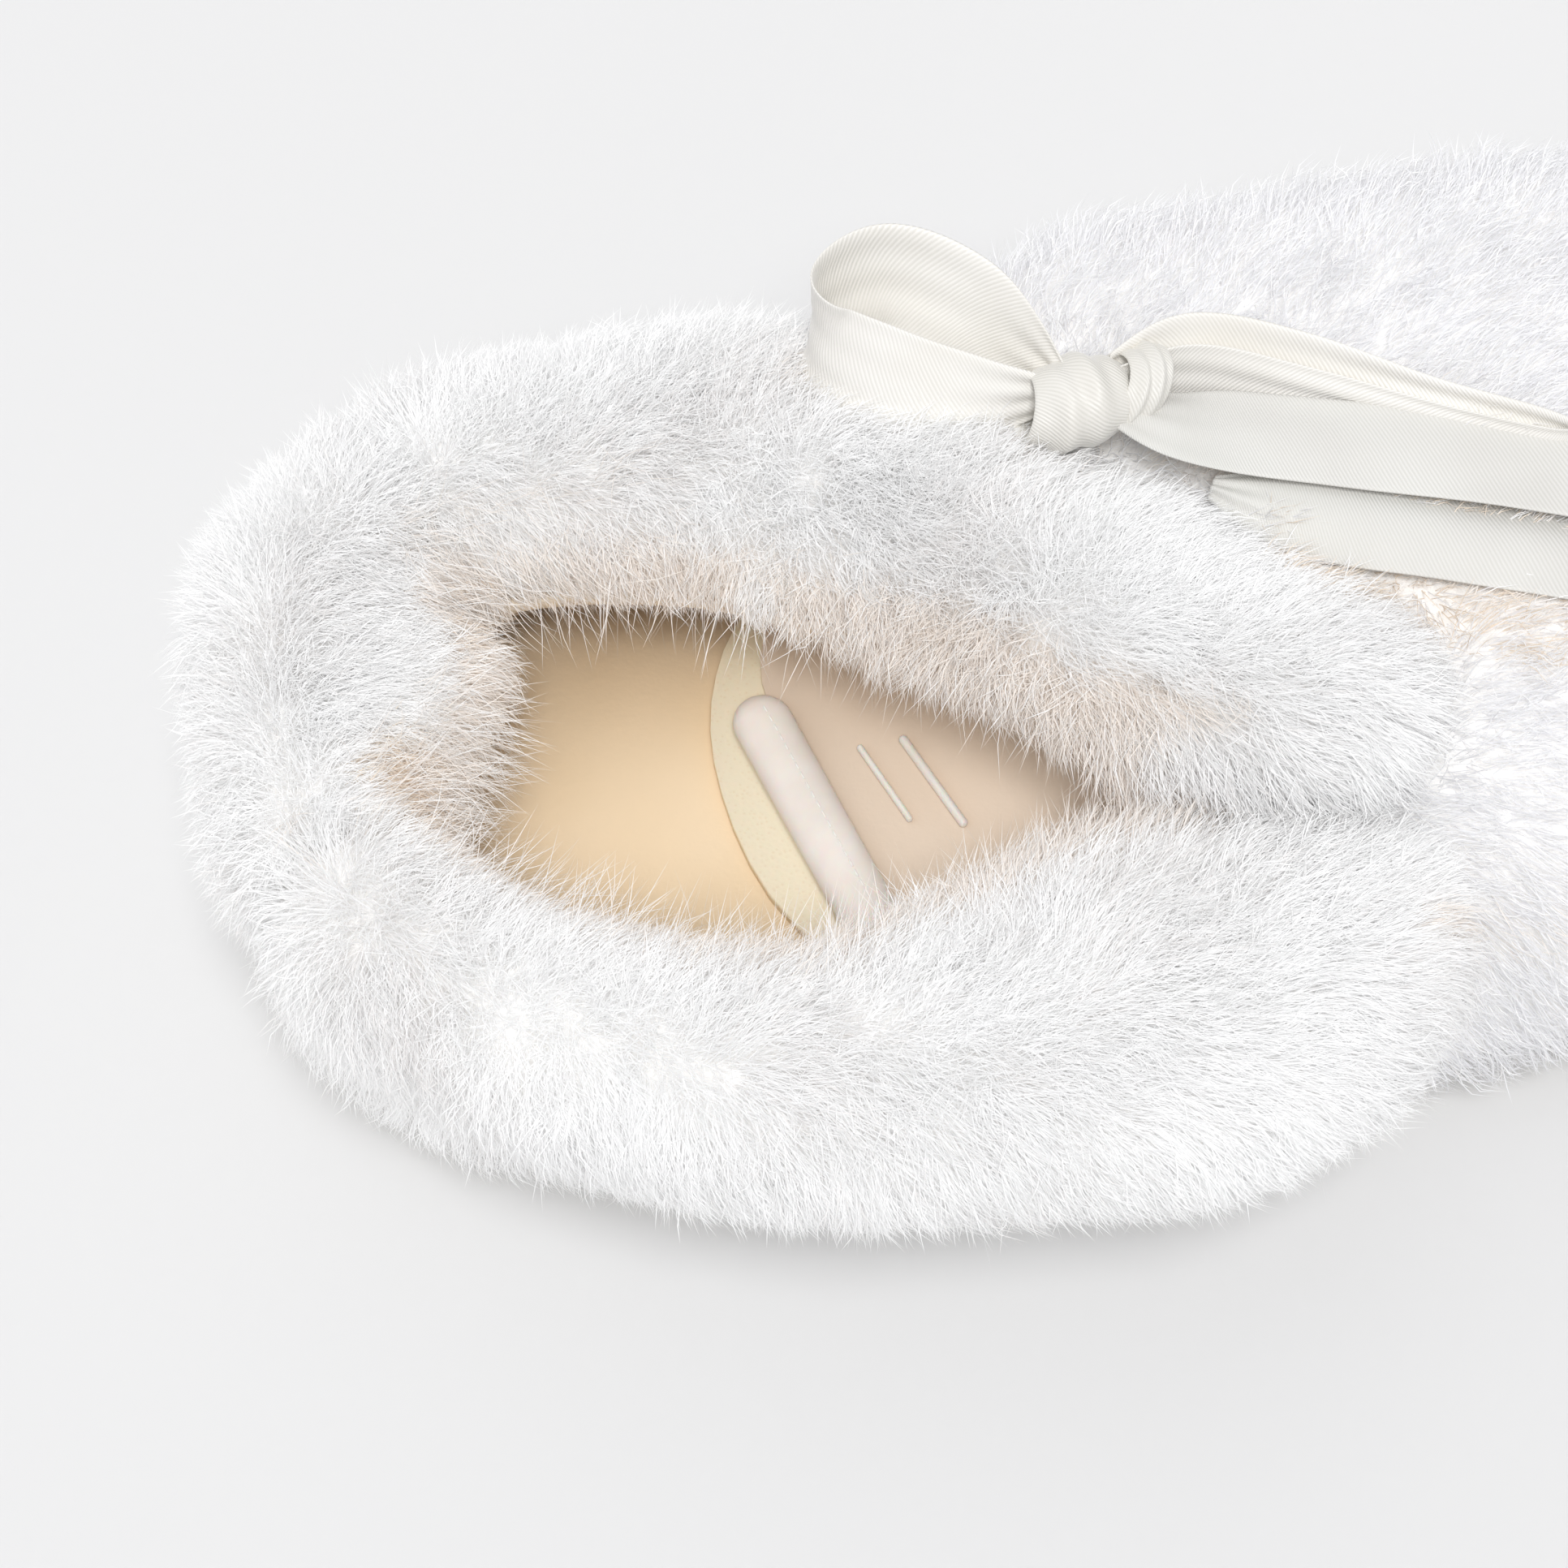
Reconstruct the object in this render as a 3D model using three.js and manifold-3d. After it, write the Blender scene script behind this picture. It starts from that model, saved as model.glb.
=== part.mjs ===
// Fluffy house slipper for the left foot, in millimetres.
// +X points to the toe, +Y to the wearer's left (lateral) side, +Z up.
// The origin lies on the flat underside of the outsole, below the arch of the foot.
import * as THREE from 'three';
import { mergeVertices } from 'three/addons/utils/BufferGeometryUtils.js';
import Module from 'manifold-3d';

const wasm = await Module();
wasm.setup();

// ---- Driving dimensions ----

// Gap between neighbouring pieces that would be glued, sewn or pressed together.
const GAP = 0.35;

// Sole outline seen from above: heel centre, medial side, toe, lateral side.
const SOLE_OUTLINE = [
  [-115, 5], [-109, -14], [-88, -27], [-50, -34], [-20, -34], [12, -29], [42, -28],
  [72, -34], [100, -29], [118, -10], [126, 13], [121, 36], [103, 53], [70, 60],
  [30, 55], [-10, 47], [-50, 41], [-88, 38], [-108, 26],
];
const OUTLINE_STEPS = 76;

// Heights of the stacked sole layers: [underside, thickness].
const OUTSOLE = [0, 7.6];
const MIDSOLE = [7.95, 7.2];
const INSOLE_BOARD = [15.5, 1.5];
const FOOTBED_FOAM = [17.35, 6.2];
const FOOTBED_SOCK = [23.9, 1.1];
const PAD_FOAM = [25.35, 1.8];
const PAD_COVER = [27.5, 0.8];
const GRIP = 28.65;

// How far inside the outline each sole layer's edge lies.
const MIDSOLE_INSET = 0.6;
const RAND_INSETS = { outer: -1, inner: 0.2 };
const BOARD_INSET = 1.5;
const FOOTBED_INSET = 5.5;
const PAD_INSET = 7.5;

// Comfort pad over the front of the footbed: where its rear edge starts on either side,
// and the points between them from the lateral to the medial side.
const PAD_FOAM_REAR = { lateral: -56, medial: -52, between: [[-64, 22], [-67, 8], [-63, -10]] };
const PAD_COVER_REAR = { lateral: -54, medial: -46, between: [[-60, 20], [-58, 6], [-52, -12]] };

// Silicone strips on the comfort pad: centres of their round ends, width and height.
const GRIP_BAR = { ends: [[-62, 14], [-51, -20]], width: 7, height: 2.8 };
const GRIP_RIB_REAR = { ends: [[-50.5, 6.5], [-46, -4]], width: 1.4, height: 1.1 };
const GRIP_RIB_FRONT = { ends: [[-45.5, 7], [-40, -5.5]], width: 1.8, height: 1.4 };

// Tread channels: depth and width, and where they cross the heel and the ball of the foot.
const TREAD_DEPTH = 1.6;
const TREAD_WIDTH = 2.6;
const HEEL_TREAD = { first: -98, pitch: 11, count: 5 };
const BALL_TREAD = { first: 32, pitch: 11, count: 8 };

// Rolled fur cuff: centre line and half sizes [x, y, z, half width, half height],
// from the tip of the medial arm round the heel to the tip of the lateral arm.
const CUFF = [
  [5, -28.5, 42, 9, 8],
  [-6, -32, 41, 16, 11],
  [-22, -36.5, 41, 19.5, 11.5],
  [-42, -39, 40.5, 16, 11.5],
  [-64, -39, 40, 12, 11.5],
  [-87, -30, 39.5, 10.5, 11.5],
  [-107, -13, 39.5, 9.5, 11.5],
  [-112, 8, 39.5, 9.5, 11.5],
  [-109, 28, 39.5, 10, 11.5],
  [-91, 38, 40, 12.5, 11.5],
  [-66, 37.5, 42, 15, 11.5],
  [-47, 29, 45, 16, 11],
  [-31, 13.5, 49, 13, 10.5],
  [-16, 1, 52, 12.5, 10],
  [-3, -8, 53, 11, 9.5],
  [5, -13, 53, 7, 7],
];
const CUFF_SKIN = 4.5;
const CUFF_COLUMNS = 14;
// Places along the cuff where the heel piece is seamed to the two arms.
const CUFF_SEAMS = [0.42, 0.575];
// The heel piece swells into the opening by this much.
const HEEL_TUFT = 11;
// The cuff wraps round its padding from one of these angles to the other,
// measured from the level direction into the opening, upwards positive.
const CUFF_WRAP = [-58, 238];

// Fur vamp: where it starts along the outline, how far it hangs outside the sole,
// and the height of its ridge from the throat to the toe.
const VAMP_OVERHANG = 5.5;
const VAMP_SKIN = 5;
const VAMP_HEM = 9;
const VAMP_START = { medial: 6.6, lateral: -43 };
const THROAT_BOW = -3;
// How far the lateral side of the vamp swells outwards, from the throat to the toe.
const LATERAL_SWELL = [[0, 3], [0.05, 13], [0.12, 18], [0.3, 13], [0.6, 6], [1, 0]];
const RIDGE = [[0, 52], [0.12, 55], [0.28, 57], [0.45, 56], [0.62, 52], [0.78, 46], [0.9, 40], [1, 32]];

// Satin ribbon.
const RIBBON_WIDTH = 11;
const RIBBON_THICKNESS = 0.6;
const KNOT = new THREE.Vector3(-22, 29.5, 60.5);
const KNOT_HALF = new THREE.Vector3(8, 5.5, 4.5);

// The two tails: [x, y, height above the fur] from the knot forwards.
const UPPER_TAIL = [
  [-12, 24, 2.8], [4, 18.5, 2.8], [22, 13.5, 2.5], [40, 9, 2.5], [58, 5, 2.5], [76, 3, 2.5],
];
const LOWER_TAIL = [
  [-1, 10.5, 0.8], [8, 7.5, 1], [22, 3.5, 1.4], [38, -2, 1.4], [52, -8, 1.4], [64, -14, 1.4],
];

// Half the distance between a bow loop's two layers at the knot.
const LEG_GAP = 0.9;

// Edges shorter than this, left where two surfaces cross, are closed up.
const SHORTEST_EDGE = 0.02;

// ---- Materials ----

const looks = {
  outsole: [0xd9d6cf, 0.7],
  midsole: [0xf2efe8, 0.85],
  rand: [0xe9e5dc, 0.9],
  board: [0xb79a74, 0.9],
  foam: [0xf1dfc3, 0.95],
  sock: [0xe0c8a9, 0.5],
  cover: [0xdbc7b2, 0.55],
  silicone: [0xe5ddd5, 0.25],
  stiffener: [0xd8d2c4, 0.8],
  lining: [0xe0c8a9, 0.6],
  binding: [0xdcc3a6, 0.6],
  padding: [0xf4f2ec, 1.0],
  fur: [0xf1f0f2, 0.95],
  satin: [0xededeb, 0.35],
};

const group = new THREE.Group();

function add(name, look, geometry) {
  const [color, roughness] = looks[look];
  const material = new THREE.MeshStandardMaterial({ color, roughness, metalness: 0 });
  const mesh = new THREE.Mesh(geometry, material);
  mesh.name = name;
  group.add(mesh);
  return mesh;
}

// ---- Shape helpers ----

const lerp = THREE.MathUtils.lerp;
const degrees = THREE.MathUtils.degToRad;

// Value of a line of [position, value] points at a position.
function along(points, position) {
  let index = 1;
  while (index < points.length - 1 && points[index][0] < position) index += 1;
  const [x0, y0] = points[index - 1];
  const [x1, y1] = points[index];
  return y0 + (y1 - y0) * THREE.MathUtils.clamp((position - x0) / (x1 - x0), 0, 1);
}

// Triangles of a grid of points, as (rows + 1) × (columns + 1) indices.
function gridTriangles(rows, columns, at) {
  const triangles = [];
  for (let i = 0; i < rows; i += 1) {
    for (let j = 0; j < columns; j += 1) {
      const [a, b, c, d] = [at(i, j), at(i + 1, j), at(i + 1, j + 1), at(i, j + 1)];
      triangles.push(a, b, c, a, c, d);
    }
  }
  return triangles;
}

// A BufferGeometry with its faces turned outwards, whichever way they were listed.
function outward(points, triangles) {
  let volume = 0;
  for (let i = 0; i < triangles.length; i += 3) {
    const [a, b, c] = [points[triangles[i]], points[triangles[i + 1]], points[triangles[i + 2]]];
    volume += a.dot(b.clone().cross(c));
  }
  if (volume < 0) triangles.reverse();
  const geometry = new THREE.BufferGeometry();
  geometry.setAttribute('position', new THREE.Float32BufferAttribute(points.flatMap((p) => p.toArray()), 3));
  geometry.setIndex(triangles);
  return geometry;
}

// A closed shell between an outer and an inner surface; each gives a point for (u, v) in 0..1.
function shell(rows, columns, outer, inner) {
  const points = [];
  for (const surface of [outer, inner]) {
    for (let i = 0; i <= rows; i += 1) {
      for (let j = 0; j <= columns; j += 1) points.push(surface(i / rows, j / columns));
    }
  }
  const inside = (rows + 1) * (columns + 1);
  const at = (i, j) => i * (columns + 1) + j;
  const triangles = gridTriangles(rows, columns, at);
  const back = gridTriangles(rows, columns, (i, j) => inside + at(i, j));
  triangles.push(...back.reverse());
  const edge = (count, place) => gridTriangles(count, 1, (i, j) => place(i) + inside * j);
  triangles.push(...edge(rows, (i) => at(rows - i, 0)));
  triangles.push(...edge(rows, (i) => at(i, columns)));
  triangles.push(...edge(columns, (j) => at(0, j)));
  triangles.push(...edge(columns, (j) => at(rows, columns - j)));
  return outward(points, triangles);
}

// A solid rod through rings of points, closed at both ends by a fan.
function rod(rings, sides, ringPoint) {
  const points = [];
  for (let i = 0; i <= rings; i += 1) {
    for (let j = 0; j < sides; j += 1) points.push(ringPoint(i / rings, (j / sides) * 2 * Math.PI));
  }
  const triangles = gridTriangles(rings, sides, (i, j) => i * sides + (j % sides));
  for (const [ring, flip] of [[0, false], [rings, true]]) {
    const centre = points.length;
    const rim = points.slice(ring * sides, (ring + 1) * sides);
    points.push(rim.reduce((sum, p) => sum.add(p), new THREE.Vector3()).divideScalar(sides));
    for (let j = 0; j < sides; j += 1) {
      const [a, b] = [ring * sides + j, ring * sides + ((j + 1) % sides)];
      triangles.push(centre, flip ? b : a, flip ? a : b);
    }
  }
  return outward(points, triangles);
}

// ---- Sole outline ----

const outlineCurve = new THREE.CatmullRomCurve3(
  SOLE_OUTLINE.map(([x, y]) => new THREE.Vector3(x, y, 0)), true, 'centripetal');
outlineCurve.arcLengthDivisions = 400;
const UP = new THREE.Vector3(0, 0, 1);

// Point of the sole outline at u (0 at the heel, medial side first), moved inwards by inset.
function outlineAt(u, inset = 0, z = 0) {
  const wrapped = (u + 1) % 1;
  const inward = UP.clone().cross(outlineCurve.getTangentAt(wrapped));
  return outlineCurve.getPointAt(wrapped).addScaledVector(inward, inset).setZ(z);
}

// The place along the outline nearest to a point seen from above.
function nearestOutline(point) {
  let best = 0;
  let bestDistance = Infinity;
  for (let u = 0; u < 1; u += 0.0025) {
    const p = outlineAt(u);
    const distance = Math.hypot(p.x - point.x, p.y - point.y);
    if (distance < bestDistance) [best, bestDistance] = [u, distance];
  }
  return best;
}

// The place on one side of the outline where it passes a given x.
function outlineAtX(x, side) {
  const [from, to] = side === 'medial' ? [0, 0.5] : [1, 0.5];
  let u = from;
  while (outlineAt(u).x < x) u += (to - from) / 400;
  return u;
}

function outlinePoints(inset) {
  const points = [];
  for (let i = 0; i < OUTLINE_STEPS; i += 1) {
    const { x, y } = outlineAt(i / OUTLINE_STEPS, inset);
    points.push(new THREE.Vector2(x, y));
  }
  return points;
}

function extruded(shape, [z, thickness], options = {}) {
  const geometry = new THREE.ExtrudeGeometry(shape, {
    depth: thickness, bevelEnabled: false, curveSegments: 8, ...options,
  });
  return geometry.translate(0, 0, z);
}

// ---- Sole ----

function solidOf(geometry) {
  const plain = mergeVertices(geometry.deleteAttribute('uv').deleteAttribute('normal'), 1e-4);
  return new wasm.Manifold(new wasm.Mesh({
    numProp: 3,
    vertProperties: new Float32Array(plain.attributes.position.array),
    triVerts: new Uint32Array(plain.index.array),
  }));
}

function geometryOf(manifold) {
  const { vertProperties, triVerts } = manifold.getMesh();
  const geometry = new THREE.BufferGeometry();
  geometry.setAttribute('position', new THREE.BufferAttribute(vertProperties, 3));
  geometry.setIndex(new THREE.BufferAttribute(triVerts, 1));
  return geometry;
}

// What is left of a piece after the cutters, as its largest body.
function trimmed(geometry, cutters) {
  const cut = cutters.reduce((body, cutter) => body.subtract(cutter), solidOf(geometry));
  const bodies = cut.simplify(SHORTEST_EDGE).decompose().sort((a, b) => b.volume() - a.volume());
  return geometryOf(bodies[0]);
}

// Rubber outsole with cross channels under the heel and the ball of the foot.
function outsole() {
  let body = solidOf(extruded(new THREE.Shape(outlinePoints(0)), OUTSOLE));
  for (const { first, pitch, count } of [HEEL_TREAD, BALL_TREAD]) {
    for (let k = 0; k < count; k += 1) {
      const channel = new THREE.BoxGeometry(TREAD_WIDTH, 200, 2 * TREAD_DEPTH);
      body = body.subtract(solidOf(channel.translate(first + k * pitch, 0, 0)));
    }
  }
  return geometryOf(body);
}

// Cloth rand wrapped round the edge of the midsole.
function midsoleWrap() {
  const shape = new THREE.Shape(outlinePoints(RAND_INSETS.outer));
  shape.holes.push(new THREE.Path(outlinePoints(RAND_INSETS.inner).reverse()));
  return extruded(shape, MIDSOLE);
}

// Pad layer over the front of the footbed, from its rear edge to the toe.
function padLayer(layer, rear) {
  const [from, to] = [outlineAtX(rear.medial, 'medial'), outlineAtX(rear.lateral, 'lateral')];
  const points = [];
  const steps = 40;
  for (let i = 0; i <= steps; i += 1) {
    const { x, y } = outlineAt(lerp(from, to, i / steps), PAD_INSET);
    points.push(new THREE.Vector2(x, y));
  }
  const between = rear.between.map(([x, y]) => new THREE.Vector2(x, y));
  const edge = new THREE.SplineCurve([points[steps], ...between, points[0]]);
  points.push(...edge.getPoints(16).slice(1, -1));
  return extruded(new THREE.Shape(points), layer);
}

// Straight strip with rounded ends lying on the comfort pad.
function gripStrip({ ends: [[x0, y0], [x1, y1]], width, height }) {
  const radius = width / 2;
  const heading = Math.atan2(y1 - y0, x1 - x0);
  const shape = new THREE.Shape();
  shape.absarc(x0, y0, radius, heading + Math.PI / 2, heading - Math.PI / 2);
  shape.absarc(x1, y1, radius, heading - Math.PI / 2, heading + Math.PI / 2);
  shape.closePath();
  const bevel = Math.min(0.45 * height, 0.45 * radius);
  return extruded(shape, [GRIP + bevel, height - 2 * bevel], {
    bevelEnabled: true, bevelThickness: bevel, bevelSize: bevel, bevelOffset: -bevel, bevelSegments: 2,
  });
}

add('outsole', 'outsole', outsole());
add('midsole', 'midsole', extruded(new THREE.Shape(outlinePoints(MIDSOLE_INSET)), MIDSOLE));
add('midsole_wrap', 'rand', midsoleWrap());
add('insole_board', 'board', extruded(new THREE.Shape(outlinePoints(BOARD_INSET)), INSOLE_BOARD));
add('footbed_foam', 'foam', extruded(new THREE.Shape(outlinePoints(FOOTBED_INSET)), FOOTBED_FOAM));
add('footbed_sock', 'sock', extruded(new THREE.Shape(outlinePoints(FOOTBED_INSET)), FOOTBED_SOCK));
add('comfort_pad_foam', 'foam', padLayer(PAD_FOAM, PAD_FOAM_REAR));
add('comfort_pad_cover', 'cover', padLayer(PAD_COVER, PAD_COVER_REAR));
add('grip_bar', 'silicone', gripStrip(GRIP_BAR));
add('grip_rib_rear', 'silicone', gripStrip(GRIP_RIB_REAR));
add('grip_rib_front', 'silicone', gripStrip(GRIP_RIB_FRONT));

// Room taken by the sole, which the upper stays clear of: the rand, the board and the footbed,
// each a gap wider than the layers it holds.
function soleSpace() {
  const layers = [
    [RAND_INSETS.outer - GAP, OUTSOLE[0], INSOLE_BOARD[0]],
    [BOARD_INSET - 0.4, INSOLE_BOARD[0] - 0.5, FOOTBED_FOAM[0] - 0.05],
    [FOOTBED_INSET - 0.4, FOOTBED_FOAM[0] - GAP, GRIP],
  ];
  return layers.map(([inset, low, high]) => (
    solidOf(extruded(new THREE.Shape(outlinePoints(inset)), [low, high - low]))));
}

const sole = soleSpace();

// ---- Cuff ----

const cuffLine = new THREE.CatmullRomCurve3(CUFF.map(([x, y, z]) => new THREE.Vector3(x, y, z)));
const cuffSize = new THREE.CatmullRomCurve3(CUFF.map(([, , , a, b]) => new THREE.Vector3(a, b, 0)));

// Point on the cuff at t along it and an angle round it, grown outwards by grow.
function cuffPoint(t, angle, grow = 0, tuft = 0) {
  const inward = cuffLine.getTangent(t).cross(UP).normalize();
  const { x: halfWidth, y: halfHeight } = cuffSize.getPoint(t);
  const swell = tuft * Math.max(0, Math.cos(angle)) ** 1.5;
  return cuffLine.getPoint(t)
    .addScaledVector(inward, (halfWidth + grow + swell) * Math.cos(angle))
    .addScaledVector(UP, (halfHeight + grow) * Math.sin(angle));
}

// One fur piece of the cuff, open below along its padding.
function cuffPiece(from, to, steps, tuft = 0) {
  const [low, high] = CUFF_WRAP.map(degrees);
  const place = (grow) => (u, v) => {
    const t = lerp(from, to, u);
    return cuffPoint(t, lerp(low, high, v), grow, tuft * Math.sin(Math.PI * u));
  };
  return shell(steps, CUFF_COLUMNS, place(0), place(-CUFF_SKIN));
}

// Half the gap at a seam, as a share of the cuff's length.
const SEAM = 0.0012;
const [medialSeam, lateralSeam] = CUFF_SEAMS;
add('cuff_medial', 'fur', cuffPiece(0, medialSeam - SEAM, 20));
add('cuff_heel', 'fur', cuffPiece(medialSeam + SEAM, lateralSeam - SEAM, 12, HEEL_TUFT));
add('cuff_lateral', 'fur', cuffPiece(lateralSeam + SEAM, 1, 20));
add('cuff_padding', 'padding', rod(48, 12, (u, angle) => (
  cuffPoint(lerp(0.03, 0.97, u), angle, -CUFF_SKIN - 2 * GAP))));

// Room taken by the cuff and its seams, which the vamp fits round.
const cuffSpace = solidOf(rod(48, 16, (u, angle) => cuffPoint(u, angle, 1.6 * GAP)));

// ---- Walls between the sole and the cuff ----

// A wall from the outline up to the underside of the cuff, between two places along the cuff.
// foot and head each give [outer, inner]: insets at the sole and angles round the cuff.
function wall(from, to, z, foot, head, { steps = 24, bulge = 0, lift = 0.6 } = {}) {
  const side = (inset, angle) => (u, v) => {
    const t = lerp(from, to, u);
    const base = nearestOutline(cuffLine.getPoint(t));
    const low = outlineAt(base, inset - bulge * Math.sin(Math.PI * v), z);
    const high = cuffPoint(t, degrees(angle), lift);
    return low.lerp(high, v);
  };
  return trimmed(shell(steps, 4, side(foot[0], head[0]), side(foot[1], head[1])), sole);
}

// Back seam of the two fur quarters, and where they end along the cuff next to the vamp.
const HEEL_SEAM = 0.467;
const QUARTER_ENDS = [0.02, 0.733];

function quarter(from, to) {
  return wall(from, to, VAMP_HEM, [-VAMP_OVERHANG, -1.5], [-116, -97], { bulge: 2 });
}

add('quarter_medial', 'fur', quarter(QUARTER_ENDS[0], HEEL_SEAM - SEAM));
add('quarter_lateral', 'fur', quarter(HEEL_SEAM + SEAM, QUARTER_ENDS[1]));
add('heel_counter', 'stiffener', wall(0.33, 0.6, FOOTBED_FOAM[0], [1.2, 2.6], [-90, -84]));
add('quarter_lining', 'lining', wall(0.05, 0.73, FOOTBED_FOAM[0], [3.2, 4.6], [-78, -72], { steps: 34 }));

// Cream binding sewn to the cuff just inside the opening.
function collarBinding() {
  const place = (grow) => (u, v) => (
    cuffPoint(lerp(lateralSeam + 0.02, 0.86, u), degrees(lerp(-52, -6, v)), grow));
  return shell(26, 3, place(1.3), place(GAP));
}

add('collar_binding', 'binding', collarBinding());

// ---- Vamp ----

const vampStart = [outlineAtX(VAMP_START.medial, 'medial'), outlineAtX(VAMP_START.lateral, 'lateral')];

// Point of the vamp at s (0 throat, 1 toe) and q (0 medial hem, 1 lateral hem).
// inset and drop bring it in from the outer face at the sides and at the ridge.
function vampPoint(s, q, { inset, drop, hem, bow }) {
  const medial = outlineAt(lerp(vampStart[0], 0.5, s), inset);
  const lateral = outlineAt(lerp(vampStart[1], 0.5, s), inset);
  const side = Math.cos(Math.PI * q);
  const rise = Math.sin(Math.PI * q);
  const across = Math.sign(side) * Math.abs(side) ** 0.62;
  const point = medial.clone().add(lateral).multiplyScalar(0.5);
  point.addScaledVector(medial.sub(lateral), across / 2);
  point.x += bow * (1 - s) ** 2 * rise;
  point.y += 2 * along(LATERAL_SWELL, s) * rise * Math.max(0, -side);
  point.z = hem + (along(RIDGE, s) - drop - hem) * rise ** 0.66;
  return point;
}

function vampArch(from, to, outer, inner, rows, columns) {
  const place = (face) => (u, v) => vampPoint(lerp(from, to, u), v, face);
  return shell(rows, columns, place(outer), place(inner));
}

// A layer of the vamp, with its toe end closed by a wall of the given thickness.
function vampLayer(from, to, outer, inner, toeWall, rows = 20, columns = 18) {
  const arch = solidOf(vampArch(from, to, outer, inner, rows, columns));
  const wallAt = (u, angle) => {
    const point = vampPoint(to, angle / (2 * Math.PI) / (1 - 1 / columns), outer);
    return point.setX(point.x - toeWall * u);
  };
  return geometryOf(arch.add(solidOf(rod(1, columns, wallAt))));
}

const FUR_OUT = { inset: -VAMP_OVERHANG, drop: 0, hem: VAMP_HEM, bow: THROAT_BOW };
const FUR_IN = { ...FUR_OUT, inset: -1.5, drop: VAMP_SKIN };
const LINING_OUT = { ...FUR_OUT, inset: 3.2, drop: 10, hem: FOOTBED_FOAM[0], bow: -2 };
const LINING_IN = { ...LINING_OUT, inset: 4.6, drop: 11.3 };
const PUFF_OUT = { ...LINING_OUT, inset: 0.2, drop: 6 };
const PUFF_IN = { ...PUFF_OUT, inset: 2.2, drop: 8 };
add('vamp_fur', 'fur', trimmed(vampLayer(0, 0.985, FUR_OUT, FUR_IN, 5, 26), [...sole, cuffSpace]));
add('vamp_lining', 'lining', trimmed(
  vampLayer(0.02, 0.965, LINING_OUT, LINING_IN, 1.3), [...sole, cuffSpace]));
add('toe_puff', 'stiffener', trimmed(vampArch(0.74, 0.97, PUFF_OUT, PUFF_IN, 10, 18), sole));

// ---- Satin bow ----

// Height of the fur below a point seen from above.
group.updateMatrixWorld(true);
const ray = new THREE.Raycaster();
const furs = group.children.filter((mesh) => ['vamp_fur', 'cuff_lateral', 'cuff_medial'].includes(mesh.name));
furs.forEach((mesh) => mesh.geometry.computeBoundingSphere());
function furHeight(x, y) {
  ray.set(new THREE.Vector3(x, y, 200), new THREE.Vector3(0, 0, -1));
  const hits = ray.intersectObjects(furs);
  return hits.length ? hits[0].point.z : 0;
}

// A ribbon along a line of [x, y, height above the fur] points, lying on the fur below it.
function drapedRibbon(route) {
  const across = (point, heading, v) => (
    point.clone().addScaledVector(heading.clone().cross(UP), v * RIBBON_WIDTH));
  const flat = new THREE.CatmullRomCurve3(route.map(([x, y]) => new THREE.Vector3(x, y, 0)));
  const rows = route.map(([, , lift], i) => {
    const u = i / (route.length - 1);
    const heading = flat.getTangent(u);
    const under = [-0.5, -0.25, 0, 0.25, 0.5].map((v) => across(flat.getPoint(u), heading, v));
    return new THREE.Vector3(0, 0, Math.max(...under.map((p) => furHeight(p.x, p.y))) + lift);
  });
  const height = new THREE.CatmullRomCurve3(rows);
  const place = (offset) => (u, v) => {
    const point = across(flat.getPoint(u), flat.getTangent(u).normalize(), v - 0.5);
    return point.setZ(height.getPoint(u).z + offset);
  };
  return shell(30, 2, place(RIBBON_THICKNESS), place(0));
}

// A bow loop: a ribbon that leaves the knot, turns over and comes back to it.
function bowLoop(heading, length, spread, rise, tilt) {
  const ahead = new THREE.Vector3(Math.cos(heading), Math.sin(heading), rise).normalize();
  const acrossFlat = ahead.clone().cross(UP).normalize();
  const across = acrossFlat.clone().applyAxisAngle(ahead, tilt);
  const open = across.clone().cross(ahead).normalize();
  const place = (half) => (u, v) => {
    const angle = Math.PI * (0.01 + 0.98 * u);
    const reach = KNOT_HALF.x + 0.6 + length * Math.sin(angle);
    const apart = spread * Math.sin(2 * angle) + (LEG_GAP + half) * Math.cos(angle);
    const width = RIBBON_WIDTH * (0.5 + 0.5 * Math.sin(angle));
    return KNOT.clone()
      .addScaledVector(ahead, reach + half * Math.sin(angle))
      .addScaledVector(open, apart)
      .addScaledVector(across, (v - 0.5) * width);
  };
  return shell(30, 2, place(RIBBON_THICKNESS / 2), place(-RIBBON_THICKNESS / 2));
}

const knot = new THREE.SphereGeometry(1, 18, 10).deleteAttribute('uv').deleteAttribute('normal');
knot.scale(KNOT_HALF.x, KNOT_HALF.y, KNOT_HALF.z).translate(KNOT.x, KNOT.y, KNOT.z);
add('ribbon_knot', 'satin', mergeVertices(knot));

// Folded end of the ribbon that is sewn to the throat and carries the knot.
function ribbonAnchor() {
  const low = furHeight(KNOT.x, KNOT.y) + 2.5 * GAP;
  const high = KNOT.z - KNOT_HALF.z - GAP;
  const fold = new THREE.BoxGeometry(RIBBON_WIDTH * 0.6, 4 * RIBBON_THICKNESS, high - low);
  return fold.translate(KNOT.x, KNOT.y, (low + high) / 2);
}

add('ribbon_anchor', 'satin', ribbonAnchor());
add('ribbon_loop_left', 'satin', bowLoop(degrees(152), 26, 5, 0.1, degrees(8)));
add('ribbon_loop_right', 'satin', bowLoop(degrees(-6), 46, 2.5, 0.12, degrees(-15)));
add('ribbon_tail_upper', 'satin', drapedRibbon(UPPER_TAIL));
add('ribbon_tail_lower', 'satin', drapedRibbon(LOWER_TAIL));

export default group;
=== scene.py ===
import math

import bmesh
import bpy
import numpy as np
from mathutils import Matrix, Vector
from mathutils.bvhtree import BVHTree
from mathutils.kdtree import KDTree


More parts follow.
